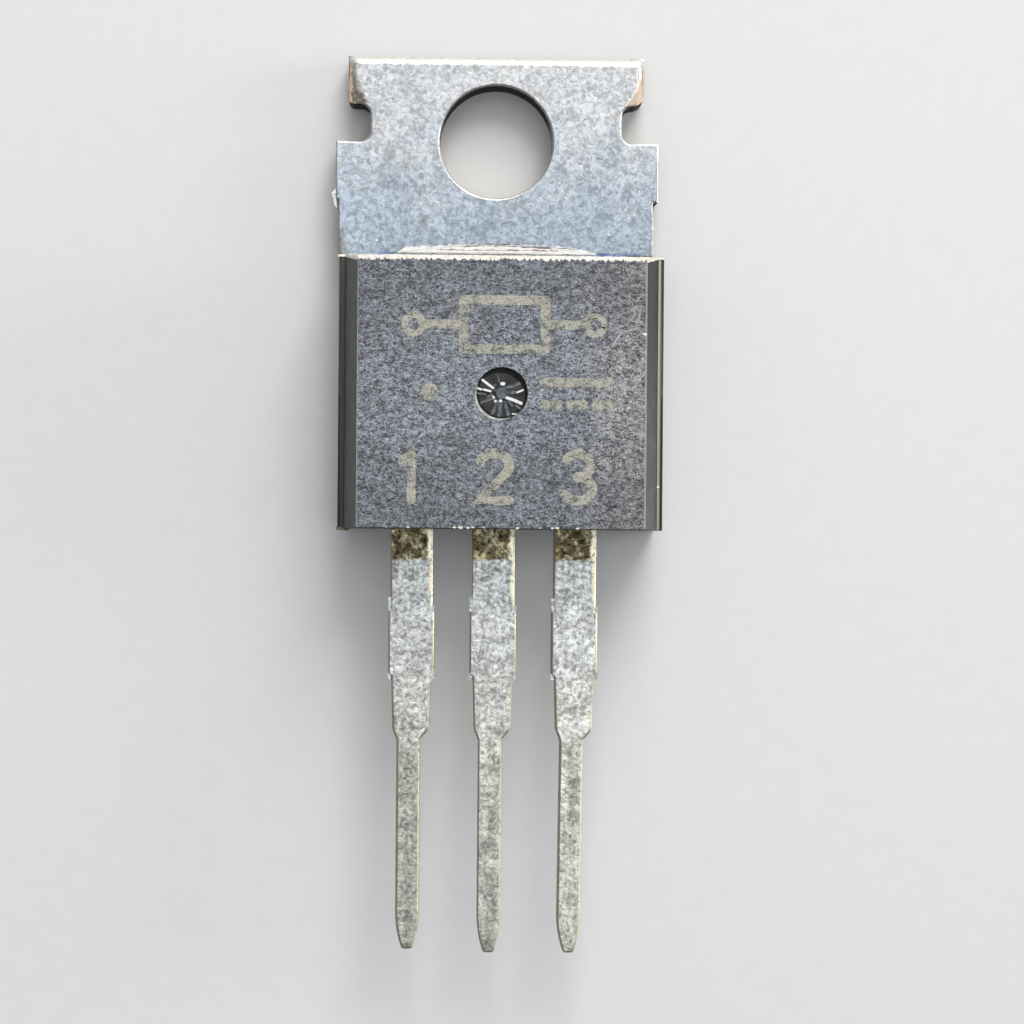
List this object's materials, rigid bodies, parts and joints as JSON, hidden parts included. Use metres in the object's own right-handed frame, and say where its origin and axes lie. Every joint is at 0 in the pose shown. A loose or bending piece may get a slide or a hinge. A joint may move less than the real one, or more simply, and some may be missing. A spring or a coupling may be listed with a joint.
{
  "type": "voltage regulator",
  "caption": "Three-lead linear voltage regulator in a moulded power package with a metal mounting tab, one bolt hole and stamped stepped leads.",
  "frame": {"origin": "centre of the mounting hole on the back face of the tab", "axes": "+Z along the hole, out of the front face; +Y along the part towards the end of the tab; +X to the right across the leads"},
  "size_m": [0.0104, 0.0282, 0.0044],
  "materials": {
    "plated_copper": "matte tin-nickel plate on copper, speckled, copper showing at sheared edges",
    "lead_plating": "mottled solder plate on copper, bare and darkened next to the body",
    "moulding": "filled epoxy, sandblasted face and smooth side walls",
    "silicon": "polished silicon with metallised top",
    "solder": "dull soft solder",
    "bond_wire": "bright drawn aluminium"
  },
  "bodies": {
    "root": {"tab_and_centre_lead": "plated_copper", "input_lead": "lead_plating", "output_lead": "lead_plating", "moulded_body": "moulding", "silicon_die": "silicon", "die_attach_solder": "solder", "input_bond_wire": "bond_wire", "output_bond_wire": "bond_wire", "sense_bond_wire": "bond_wire", "ground_bond_wire": "bond_wire"}
  },
  "joints": []
}
